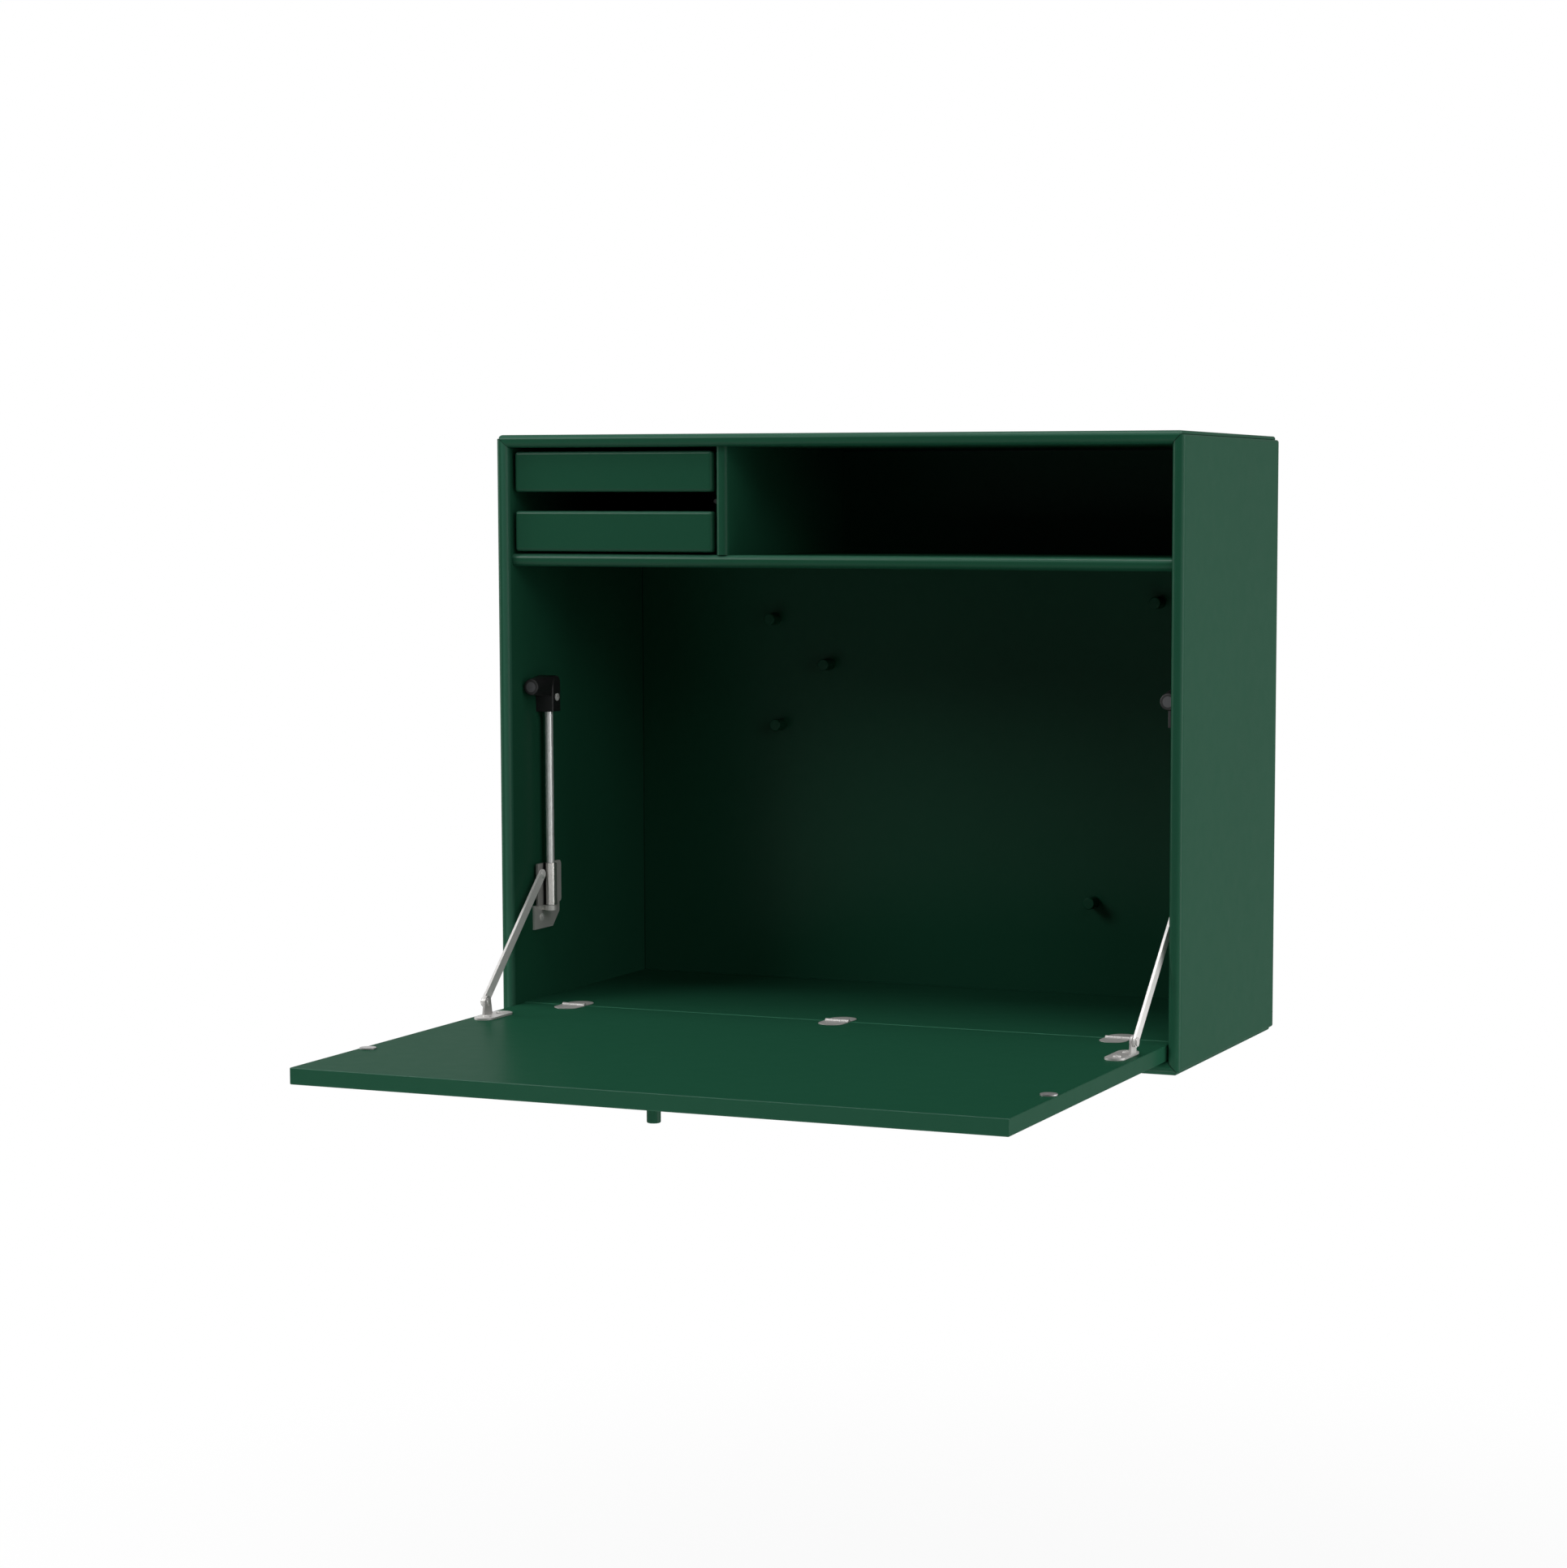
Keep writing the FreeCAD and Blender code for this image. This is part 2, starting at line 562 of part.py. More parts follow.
FOOT_LOW = f"({SURFACE} + foot_low)"
FOOT_TOP = f"({FOOT_LOW} + foot_tall)"
foot = new_body("left_stay_foot")
front = f"{ROD_Y} - foot_ahead"
rear = f"{ROD_Y} + foot_back"
profile = [
    (front, FOOT_LOW),
    (f"{rear} - foot_cut", FOOT_LOW),
    (rear, f"{FOOT_LOW} + foot_cut"),
    (rear, FOOT_TOP),
    (front, FOOT_TOP),
]
grow(foot, "Pad", sketch(foot, "YZ", f"-{INNER}", [profile]), "foot_thk")
clip = ("circle", STAY_X, ROD_Y, "ring_dia / 2")
grow(foot, "Pad", sketch(foot, "XY", f"{FOOT_TOP} - clip_tall", [clip]), "clip_tall")
web = rectangle(f"-{INNER}", f"{ROD_Y} - ring_dia / 3", STAY_X, f"{ROD_Y} + ring_dia / 3")
grow(foot, "Pad", sketch(foot, "XY", f"{FOOT_TOP} - clip_tall", [web]), "clip_tall")
bore = ("circle", STAY_X, ROD_Y, "rod_dia / 2")
grow(foot, "Pocket", sketch(foot, "XY", FOOT_LOW, [bore]), "foot_tall", True)
bore = ("circle", f"{ROD_Y} - foot_screw_ahead", f"{FOOT_LOW} + foot_screw_up", "screw_dia / 2")
grow(foot, "Pocket", sketch(foot, "YZ", f"-{INNER}", [bore]), "foot_thk", True)
stay_screws = [
    screw("left_head_screw", "head_wide + screw_bite", f"head_wide - {INNER}", ROD_Y,
          f"{MAGNET_Z} - head_screw_drop", ALONG_X),
    screw("left_foot_screw", "foot_thk + screw_bite", f"foot_thk - {INNER}", f"{ROD_Y} - foot_screw_ahead",
          f"{FOOT_LOW} + foot_screw_up", ALONG_X),
]
screws = group("left_stay_screws", stay_screws)

# Left slider with its brake sleeve
ARM_IN = f"({STAY_X} + lug_thk / 2 - lug_thk - part_gap)"
ARM_OUT = f"({ARM_IN} - arm_thk)"
PLATE_IN = f"({ARM_OUT} - part_gap)"
SLIDER_LOW = f"({FOOT_TOP} + slider_rest)"
SLIDER_TOP = f"({SLIDER_LOW} + slider_tall)"
PIVOT_Y = f"({HINGE_Y} + pivot_behind)"
PIVOT_Z = f"({SURFACE} + pivot_up)"
slider = new_body("left_slider")
front = f"{ROD_Y} - slider_ahead"
rear = f"{ROD_Y} + slider_back"
profile = [
    (front, SLIDER_LOW),
    (f"{rear} - slider_round", SLIDER_LOW, "slider_round", "left"),
    (rear, f"{SLIDER_LOW} + slider_round"),
    (rear, f"{SLIDER_TOP} - slider_round", "slider_round", "left"),
    (f"{rear} - slider_round", SLIDER_TOP),
    (front, SLIDER_TOP),
]
grow(slider, "Pad", sketch(slider, "YZ", f"{PLATE_IN} - slider_thk", [profile]), "slider_thk")
ring = ("circle", STAY_X, ROD_Y, "ring_dia / 2")
grow(slider, "Pad", sketch(slider, "XY", SLIDER_LOW, [ring]), "slider_tall")
web = rectangle(f"{PLATE_IN} - slider_thk / 2", f"{ROD_Y} - ring_dia / 4", STAY_X, f"{ROD_Y} + ring_dia / 4")
grow(slider, "Pad", sketch(slider, "XY", SLIDER_LOW, [web]), "slider_tall")
tail = ("circle", PIVOT_Y, PIVOT_Z, "rivet_head / 2")
grow(slider, "Pad", sketch(slider, "YZ", f"{PLATE_IN} - slider_thk - tail_thk", [tail]), "tail_thk")
bore = ("circle", STAY_X, ROD_Y, "brake_dia / 2")
grow(slider, "Pocket", sketch(slider, "XY", SLIDER_LOW, [bore]), "slider_tall", True)
brake = new_body("left_brake")
sleeve = [("circle", STAY_X, ROD_Y, "brake_dia / 2"), ("circle", STAY_X, ROD_Y, "rod_dia / 2 + run_gap")]
grow(brake, "Pad", sketch(brake, "XY", SLIDER_LOW, sleeve), "slider_tall")

# Left flap bracket: a flat base with a lug bent up at its outer edge
LUG_Y = f"({HINGE_Y} - lug_ahead)"
LUG_Z = f"({SURFACE} + lug_up)"
LUG_OUT = f"({STAY_X} - lug_thk / 2)"
BASE_Y = f"({LUG_Y} - base_shift)"
BASE_X = f"({LUG_OUT} + base_wide / 2)"
bracket = new_body("left_bracket")
half = "base_wide / 2"
span = "(base_long - base_wide) / 2"
profile = [
    (f"{BASE_X} + {half}", f"{BASE_Y} - {span}"),
    (f"{BASE_X} + {half}", f"{BASE_Y} + {span}", half, "left"),
    (BASE_X, f"{BASE_Y} + base_long / 2", half, "left"),
    (f"{BASE_X} - {half}", f"{BASE_Y} + {span}"),
    (f"{BASE_X} - {half}", f"{BASE_Y} - {span}", half, "left"),
    (BASE_X, f"{BASE_Y} - base_long / 2", half, "left"),
]
holes = [("circle", BASE_X, f"{BASE_Y} {sign} base_screws / 2", "screw_dia / 2") for sign in "-+"]
grow(bracket, "Pad", sketch(bracket, "XY", SURFACE, [profile] + holes), "base_thk")
profile = [
    (f"{LUG_Y} - lug_wide / 2", SURFACE),
    (f"{LUG_Y} + lug_wide / 2", SURFACE),
    (f"{LUG_Y} + lug_round", LUG_Z, "lug_round", "left"),
    (LUG_Y, f"{LUG_Z} + lug_round", "lug_round", "left"),
    (f"{LUG_Y} - lug_round", LUG_Z),
]
bore = ("circle", LUG_Y, LUG_Z, "rivet_dia / 2")
grow(bracket, "Pad", sketch(bracket, "YZ", LUG_OUT, [profile, bore]), "lug_thk")
bracket_screws = [screw(f"left_bracket_screw_{end}", "base_thk + screw_bite", BASE_X,
                        f"{BASE_Y} {sign} base_screws / 2", f"{SURFACE} + base_thk")
                  for end, sign in (("front", "-"), ("back", "+"))]
plate_screws = group("left_bracket_screws", bracket_screws)


# Rivets: a shank with a round head on one or both ends, along X
def rivet(name, x, y, z, length, tail):
    body = new_body(name)
    profile = [
        ("0", "0"),
        ("rivet_dia / 2", "0"),
        ("rivet_dia / 2", length),
        ("rivet_head / 2", length),
        ("rivet_head / 2", f"{length} + rivet_head_thk / 2"),
        ("rivet_dia / 2", f"{length} + rivet_head_thk"),
        ("0", f"{length} + rivet_head_thk"),
    ]
    if tail:
        profile[:2] = [("0", "-tail_thk"), ("rivet_head / 2", "-tail_thk"), ("rivet_head / 2", "0"),
                       ("rivet_dia / 2", "0")]
    spin(body, sketch(body, "XZ", "0", [profile]))
    return place(body, x, y, z, ALONG_X)


lug_rivet = rivet("left_bracket_rivet", f"{ARM_OUT} - part_gap", LUG_Y, LUG_Z,
                  "(2 * part_gap + arm_thk + lug_thk)", True)
arm_rivet = rivet("left_arm_rivet", ARM_OUT, PIVOT_Y, PIVOT_Z, "arm_thk", False)

# Left arm between the flap pivot and the slider pivot, drawn along its own length
RISE = f"({PIVOT_Z} - {LUG_Z})"
RUN = f"({PIVOT_Y} - {LUG_Y})"
ARM_LENGTH = f"sqrt({RISE} ^ 2 + {RUN} ^ 2)"
arm = new_body("left_arm")
half = "arm_wide / 2"
profile = [
    ("0", f"-{half}"),
    (ARM_LENGTH, f"-{half}", half, "left"),
    (f"{ARM_LENGTH} + {half}", "0", half, "left"),
    (ARM_LENGTH, half),
    ("0", half, half, "left"),
    (f"-{half}", "0", half, "left"),
]
eyes = [("circle", "0", "0", "rivet_dia / 2 + run_gap"), ("circle", ARM_LENGTH, "0", "rivet_dia / 2")]
grow(arm, "Pad", sketch(arm, "YZ", "0", [profile] + eyes), "arm_thk")
place(arm, ARM_OUT, LUG_Y, LUG_Z, (FreeCAD.Vector(1, 0, 0), 0))
arm.setExpression("Placement.Rotation.Angle", cells(f"atan({RISE} / {RUN})"))

# Strike discs, set in the flap
disc = pin("strike_disc_left", "strike_dia / 2", "strike_thk", STAY_X, f"{HINGE_Y} - strike_ahead",
           f"{SURFACE} + strike_proud - strike_thk")
disc_right = mirrored("strike_disc_right", disc)
node(disc, "strike_disc_left")
node(disc_right, "strike_disc_right")

# Left and right stay pieces: the right stay is the left one mirrored
rights = {}
for piece in (head, magnet, rod, foot, screws, slider, brake, arm, arm_rivet, bracket, lug_rivet, plate_screws):
    node(piece, piece.Name)
    rights[piece.Name] = mirrored(piece.Name.replace("left", "right"), piece)
    node(rights[piece.Name], rights[piece.Name].Name)

# Flap: the swinging writing board
flap = new_body("flap_blank")
loop = rectangle(f"flap_side - {INNER}", FLAP_EDGE, f"{INNER} - flap_side", f"{HINGE_Y} - seam / 2")
grow(flap, "Pad", sketch(flap, "XY", f"{SURFACE} - flap_thk", [loop]), "flap_thk")
soften(flap, "flap_round")
flap_tools = flap_rooms + [disc, disc_right, knob, plate_screws, rights["left_bracket_screws"]]
node(cut("flap_panel", flap, flap_tools), "flap_panel")

# Side, top and bottom panels with the rooms for tongues, dowels and stay screws
node(cut("left_side_panel", left_blank, splines + dowels + [screws]), "left_side_panel")
node(cut("right_side_panel", right_blank, splines + dowels + [rights["left_stay_screws"]]), "right_side_panel")
node(cut("top_panel", top_blank, splines + dowels), "top_panel")
node(cut("bottom_panel", bottom_blank, splines), "bottom_panel")

# Trays on runners in the left cell
CELL = f"(-{INNER})"
TRAY_WIDE = "(left_cell - 2 * tray_side)"
TRAY_TALL = "((upper_clear - tray_low - finger_gap - tray_top) / 2)"
runners = []
for name, step in (("lower", "0"), ("upper", "1")):
    x0 = f"({CELL} + tray_side)"
    x1 = f"({x0} + {TRAY_WIDE})"
    z0 = f"({SHELF_TOP} + tray_low + {step} * ({TRAY_TALL} + finger_gap))"
    wall = f"({z0} + tray_wall_low)"
    y0 = INSET
    y1 = f"({INSET} + tray_front_thk)"
    y2 = f"({BACK} - tray_clear)"
    top = f"({z0} + {TRAY_TALL} - tray_wall_drop)"
    rail = f"({top} - groove_drop - runner_tall)"
    under = f"({wall} + tray_floor_up)"
    bottom = slab(f"tray_{name}_bottom",
                  (f"{x0} + tray_wall_thk - tray_floor_bite", f"{x1} - tray_wall_thk + tray_floor_bite"),
                  (f"{y1} - tray_floor_bite", f"{y2} - tray_wall_thk + tray_floor_bite"),
                  (under, f"{under} + tray_floor_thk"))
    front = new_body(f"tray_{name}_front_blank")
    loop = rectangle(x0, z0, x1, f"{z0} + {TRAY_TALL}")
    grow(front, "Pad", sketch(front, "XZ", y1, [loop]), "tray_front_thk")
    soften(front, "tray_round")
    node(cut(f"tray_{name}_front", front, [bottom]), f"tray_{name}_front")
    low = f"({rail} - part_gap)"
    high = f"({rail} + runner_tall + part_gap)"
    for side, a, b, groove in (
            ("left", x0, f"{x0} + tray_wall_thk", (x0, f"{x0} + groove_deep")),
            ("right", f"{x1} - tray_wall_thk", x1, (f"{x1} - groove_deep", x1))):
        blank = new_body(f"tray_{name}_{side}_blank")
        loop = rectangle(a, wall, b, top)
        grow(blank, "Pad", sketch(blank, "XZ", y2, [loop]), f"{y2} - {y1}")
        loop = rectangle(groove[0], low, groove[1], high)
        grow(blank, "Pocket", sketch(blank, "XZ", y2, [loop]), f"{y2} - {y1}", True)
        node(cut(f"tray_{name}_{side}_side", blank, [bottom]), f"tray_{name}_{side}_side")
    rear = slab(f"tray_{name}_back_blank", (f"{x0} + tray_wall_thk", f"{x1} - tray_wall_thk"),
                (f"{y2} - tray_wall_thk", y2), (wall, top))
    node(cut(f"tray_{name}_back", rear, [bottom]), f"tray_{name}_back")
    node(bottom, f"tray_{name}_bottom")
    for side, a, b in (("left", CELL, f"{CELL} + runner_wide"), ("right", f"{DIVIDER} - runner_wide", DIVIDER)):
        runners.append(slab(f"runner_{name}_{side}", (a, b), (f"{y1} + runner_inset", y2),
                            (rail, f"{rail} + runner_tall")))
node(group("tray_runners", runners), "tray_runners")

# Every object must be sound before it is written
doc.recompute()
for thing in doc.Objects:
    if "Invalid" in thing.State or "Error" in thing.State:
        raise RuntimeError(f"{thing.Name} is {thing.State}")
os.makedirs("parts", exist_ok=True)
for thing in NODES:
    shape = thing.Shape
    if shape.isNull() or not shape.isValid() or not shape.Solids:
        raise RuntimeError(f"{thing.Label} has no sound shape")
    box = shape.BoundBox
    print(f"{thing.Label:28s} {len(shape.Solids)} {shape.Volume / 1000:9.2f} cm3 "
          f"x {box.XMin:.1f} {box.XMax:.1f} y {box.YMin:.1f} {box.YMax:.1f} z {box.ZMin:.1f} {box.ZMax:.1f}")
    shape.exportStep(f"parts/{thing.Label}.step")
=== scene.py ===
import math
import bmesh
import bpy
from mathutils import Matrix, Vector


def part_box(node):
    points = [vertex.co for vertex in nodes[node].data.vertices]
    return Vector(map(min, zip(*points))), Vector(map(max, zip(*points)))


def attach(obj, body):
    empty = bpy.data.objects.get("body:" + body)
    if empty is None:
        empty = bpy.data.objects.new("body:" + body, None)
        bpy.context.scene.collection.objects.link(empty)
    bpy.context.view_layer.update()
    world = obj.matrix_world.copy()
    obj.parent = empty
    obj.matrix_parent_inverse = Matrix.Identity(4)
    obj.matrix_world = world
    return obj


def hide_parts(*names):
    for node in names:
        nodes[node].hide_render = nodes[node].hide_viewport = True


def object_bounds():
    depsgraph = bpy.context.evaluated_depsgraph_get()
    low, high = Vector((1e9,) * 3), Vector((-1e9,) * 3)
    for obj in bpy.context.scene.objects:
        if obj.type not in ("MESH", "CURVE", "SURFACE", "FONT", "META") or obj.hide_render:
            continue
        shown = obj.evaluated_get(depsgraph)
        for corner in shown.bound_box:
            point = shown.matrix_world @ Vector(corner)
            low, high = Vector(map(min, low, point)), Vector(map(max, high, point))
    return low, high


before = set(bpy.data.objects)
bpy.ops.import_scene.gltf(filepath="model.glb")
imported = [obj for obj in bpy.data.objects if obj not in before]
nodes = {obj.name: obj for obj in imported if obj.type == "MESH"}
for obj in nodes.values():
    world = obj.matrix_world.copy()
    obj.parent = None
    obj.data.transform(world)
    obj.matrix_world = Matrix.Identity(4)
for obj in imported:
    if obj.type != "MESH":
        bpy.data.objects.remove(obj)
cad_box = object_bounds()


# Case: four 12 mm fibreboard boards with rounded front edges, mitred at the corners,
# glued over loose tongues and sprayed with a satin green lacquer.
class Wire:
    """One socket of a node tree, so that node maths reads as arithmetic."""

    def __init__(self, tree, socket=None):
        self.tree = tree
        self.socket = socket

    def add(self, kind, settings, inputs, output=0):
        """A new node with its settings and the values or wires of its inputs."""
        made = self.tree.nodes.new(kind)
        for name, value in settings.items():
            setattr(made, name, value)
        for key, value in inputs.items():
            if isinstance(value, Wire):
                self.tree.links.new(value.socket, made.inputs[key])
            else:
                made.inputs[key].default_value = value
        return Wire(self.tree, made.outputs[output])

    def maths(self, operation, *values):
        return self.add("ShaderNodeMath", {"operation": operation}, dict(enumerate(values)))

    def __add__(self, other):
        return self.maths("ADD", self, other)

    def __sub__(self, other):
        return self.maths("SUBTRACT", self, other)

    def __rsub__(self, other):
        return self.maths("SUBTRACT", other, self)

    def __mul__(self, other):
        return self.maths("MULTIPLY", self, other)

    def __truediv__(self, other):
        return self.maths("DIVIDE", self, other)

    def __rtruediv__(self, other):
        return self.maths("DIVIDE", other, self)

    def __abs__(self):
        return self.maths("ABSOLUTE", self)

    __radd__ = __add__
    __rmul__ = __mul__

    def below(self, limit, soft):
        """1 under the limit, falling smoothly to 0 over the soft width above it."""
        span = {"Value": self, "From Min": limit, "From Max": limit + soft, "To Min": 1.0, "To Max": 0.0}
        return self.add("ShaderNodeMapRange", {"interpolation_type": "SMOOTHSTEP"}, span)

    def part(self, axis):
        return self.add("ShaderNodeSeparateXYZ", {}, {0: self}, axis)

    def stretched(self, scale):
        return self.add("ShaderNodeMapping", {}, {"Vector": self, "Scale": scale})

    def noise(self, scale, detail):
        return self.add("ShaderNodeTexNoise", {}, {"Vector": self, "Scale": scale, "Detail": detail}, "Fac")

    def between(self, first, second):
        """A colour that goes from first to second while this value goes from 0 to 1."""
        return self.add("ShaderNodeMix", {"data_type": "RGBA"}, {0: self, 6: first, 7: second}, 2)

    def relief(self, strength, depth):
        return self.add("ShaderNodeBump", {}, {"Strength": strength, "Distance": depth, "Height": self})


def new_finish(name):
    """An empty material, its Principled shader and a wire on Object coordinates."""
    finish = bpy.data.materials.new(name)
    finish.use_nodes = True
    shader = finish.node_tree.nodes["Principled BSDF"]
    place = Wire(finish.node_tree).add("ShaderNodeTexCoord", {}, {}, "Object")
    return finish, shader, place


def feed(shader, socket, wire):
    wire.tree.links.new(wire.socket, shader.inputs[socket])


deep_green = (0.0116, 0.0690, 0.0372, 1)
cloud_green = (0.0126, 0.0735, 0.0400, 1)
highlight_green = (0.030, 0.115, 0.072, 1)
joint_green = (0.0028, 0.0140, 0.0080, 1)
highlight_share = 0.8


def lacquer(name, line=None, line_colour=joint_green, highlight_edge=None, gain=0.0):
    """Satin green lacquer: a cloudy colour, a weak hard coat and a faint orange peel.

    The line masks a joint, or a strip painted pale as a highlight. The highlight edge masks a
    rounded edge that is painted a lighter green as a highlight, and there the coat is stronger by the gain.
    """
    finish, shader, place = new_finish(name)
    colour = place.noise(scale=5, detail=3).between(deep_green, cloud_green)
    shine = place.noise(scale=70, detail=2) * 0.03 + 0.105
    if line:
        colour = line(place).between(colour, line_colour)
    # Painted highlight: a rounded edge is painted a lighter green.
    if highlight_edge:
        painted_highlight = highlight_edge(place)
        colour = (painted_highlight * highlight_share).between(colour, highlight_green)
        shine = shine + painted_highlight * gain
    feed(shader, "Base Color", colour)
    feed(shader, "Roughness", place.noise(scale=38, detail=2) * 0.06 + 0.36)
    feed(shader, "Coat Weight", shine)
    peel = place.noise(scale=620, detail=2) + place.noise(scale=1900, detail=1) * 0.35
    feed(shader, "Normal", peel.relief(strength=0.05, depth=0.0004))
    shader.inputs["Specular IOR Level"].default_value = 0
    shader.inputs["Coat IOR"].default_value = 1.7
    shader.inputs["Coat Roughness"].default_value = 0.3
    return finish


def mitre_line(place):
    """The dark line of a mitre joint: equally far from the inner faces of both boards."""
    half_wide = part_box("right_side_panel")[0].x
    middle = (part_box("top_panel")[0].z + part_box("bottom_panel")[1].z) / 2
    half_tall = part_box("top_panel")[0].z - middle
    out = abs(place.part("X")) - half_wide
    rise = abs(place.part("Z") - middle) - half_tall
    return abs(out - rise).below(limit=0.0003, soft=0.0004)


def soft_edge(board, radius, axis=2):
    """A mask for the rounded front edge at a board's high end along an axis, 0 for X or 2 for Z."""
    low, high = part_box(board)
    reach = radius * 0.6
    soft = radius * 0.35
    return lambda place: ((high[axis] - place.part(axis)).below(reach, soft)
                          * (place.part("Y") - low.y).below(reach, soft))


def dress(finish, *names):
    for name in names:
        nodes[name].data.materials.clear()
        nodes[name].data.materials.append(finish)


dress(lacquer("green lacquer on mitred boards", mitre_line), "right_side_panel", "bottom_panel")
# Painted highlight: the left board's rounded inner front edge and the top board's rounded front edge are
# painted a lighter green.
inner_edge = soft_edge("left_side_panel", radius=0.008, axis=0)
dress(lacquer("green lacquer on the left board", mitre_line, highlight_edge=inner_edge, gain=0.05), "left_side_panel")
upper_edge = soft_edge("top_panel", radius=0.005)
dress(lacquer("green lacquer on the top board", mitre_line, highlight_edge=upper_edge, gain=0.1), "top_panel")

# Tongues and dowels: raw beech, glued into the joints, where they stay out of sight.
# They are sawn and turned, so the year rings show as fine stripes.
pale_beech = (0.54, 0.38, 0.22, 1)
dark_beech = (0.40, 0.25, 0.13, 1)
beech, shader, place = new_finish("raw beech")
rings = place.add("ShaderNodeTexWave", {},
                  {"Vector": place, "Scale": 40.0, "Distortion": 3.0, "Detail": 2.0}, "Fac")
flecks = place.stretched((900, 160, 900)).noise(scale=1, detail=2)
feed(shader, "Base Color", (rings * 0.7 + flecks * 0.3).between(dark_beech, pale_beech))
feed(shader, "Roughness", rings * 0.1 + 0.55)
dress(beech, "mitre_splines", "carcass_dowels")


# Back, floor board, shelf and divider: the same board and lacquer. The back and the floor board
# are glued in between the case's boards. The shelf and the divider stand on dowels and have
# rounded front edges.
def back_joint(place):
    """The fine dark line all round the back, where it meets the four boards."""
    low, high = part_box("back_panel")
    beside = (high.x - low.x) / 2 - abs(place.part("X") - (low.x + high.x) / 2)
    above = (high.z - low.z) / 2 - abs(place.part("Z") - (low.z + high.z) / 2)
    return beside.maths("MINIMUM", beside, above).below(limit=0.0005, soft=0.0004)


def seam_highlight(place):
    """A pale strip painted as a highlight along the floor board's front edge, at the seam with the flap."""
    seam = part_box("floor_board")[0].y
    return (place.part("Y") - seam).below(limit=0.0016, soft=0.0016)


green = lacquer("green lacquer")
# Painted highlight: a pale green strip along the floor board's seam with the flap.
seam_highlight_green = (0.032, 0.135, 0.080, 1)
# Painted highlight: the shelf's rounded front edge is painted a lighter green.
shelf_edge = soft_edge("shelf", radius=0.005)
dress(lacquer("green lacquer on the back", back_joint), "back_panel")
dress(green, "divider")
dress(lacquer("green lacquer on the shelf", highlight_edge=shelf_edge, gain=0.2), "shelf")
dress(lacquer("green lacquer with a painted highlight at the seam", seam_highlight, seam_highlight_green), "floor_board")

# Pegs: five turned wooden pegs for hanging things up, lacquered with the case.
# A thinner end of each is glued into a hole in the back.
dress(green, "back_pegs")


# Hinges: three flap hinges of stamped steel, satin nickel plated. Their round-ended leaves
# are let in flush, and a pin runs through the barrel.
def plated(name, dark, light, smooth, rough, metal, stretch):
    """Plated metal with fine drawn lines, which run along the least stretched axis."""
    finish, shader, place = new_finish(name)
    lines = place.stretched(stretch).noise(scale=260, detail=1)
    smudge = place.noise(scale=45, detail=2)
    worn = lines * 0.7 + smudge * 0.3
    feed(shader, "Base Color", worn.between(dark, light))
    feed(shader, "Roughness", worn * (rough - smooth) + smooth)
    shader.inputs["Metallic"].default_value = metal
    return finish


nickel = plated("satin nickel", dark=(0.52, 0.505, 0.49, 1), light=(0.62, 0.605, 0.59, 1),
                smooth=0.36, rough=0.50, metal=0.5, stretch=(1, 7, 7))
for hinge in ("hinge_left", "hinge_mid", "hinge_right"):
    dress(nickel, f"{hinge}_floor_leaf", f"{hinge}_flap_leaf", f"{hinge}_pin")

# Flap: the writing board, 15 mm fibreboard with softened edges, lacquered on all sides.
# It hangs on the hinges, and a small turned knob at its far edge opens it.
# Painted highlight: the flap's rounded top front edge is painted a lighter green.
flap_edge = soft_edge("flap_panel", radius=0.001)
dress(lacquer("green lacquer on the flap", highlight_edge=flap_edge, gain=0.15), "flap_panel")
dress(green, "flap_knob")


# Strike discs: two turned steel discs let into the flap, which the magnets hold when it is
# shut. The turning tool leaves fine rings round the middle of each disc.
def distance(across, along):
    """How far a point is from an axis, from its offsets along two others."""
    return across.maths("SQRT", across * across + along * along)


rings_per_metre = 9000
dark_steel = (0.31, 0.305, 0.305, 1)
light_steel = (0.40, 0.395, 0.39, 1)
turned_steel, shader, place = new_finish("turned steel")
disc_low, disc_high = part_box("strike_disc_right")
across = abs(place.part("X")) - (disc_low.x + disc_high.x) / 2
along = place.part("Y") - (disc_low.y + disc_high.y) / 2
turning = place.maths("SINE", distance(across, along) * rings_per_metre) * 0.5 + 0.5
worn = turning * 0.4 + place.noise(scale=300, detail=2) * 0.6
feed(shader, "Base Color", worn.between(dark_steel, light_steel))
feed(shader, "Roughness", turning * 0.08 + 0.34)
shader.inputs["Metallic"].default_value = 0.5
dress(turned_steel, "strike_disc_left", "strike_disc_right")

# Stay heads and brake sleeves: moulded black plastic with a fine grain. A head is screwed to
# each side and holds the magnet and the top of the rod. Its tube and its block are one elbow.
plastic, shader, place = new_finish("moulded black plastic")
pores = place.noise(scale=1500, detail=2)
feed(shader, "Base Color", pores.between((0.0045, 0.0045, 0.0050, 1), (0.0085, 0.0085, 0.0090, 1)))
feed(shader, "Roughness", pores * 0.12 + 0.42)
feed(shader, "Normal", pores.relief(strength=0.05, depth=0.0003))
dress(plastic, "left_brake", "right_brake")
crease = math.radians(35)


def put(name, data):
    """A new object in the scene."""
    holder = bpy.data.objects.new(name, data)
    bpy.context.scene.collection.objects.link(holder)
    return holder


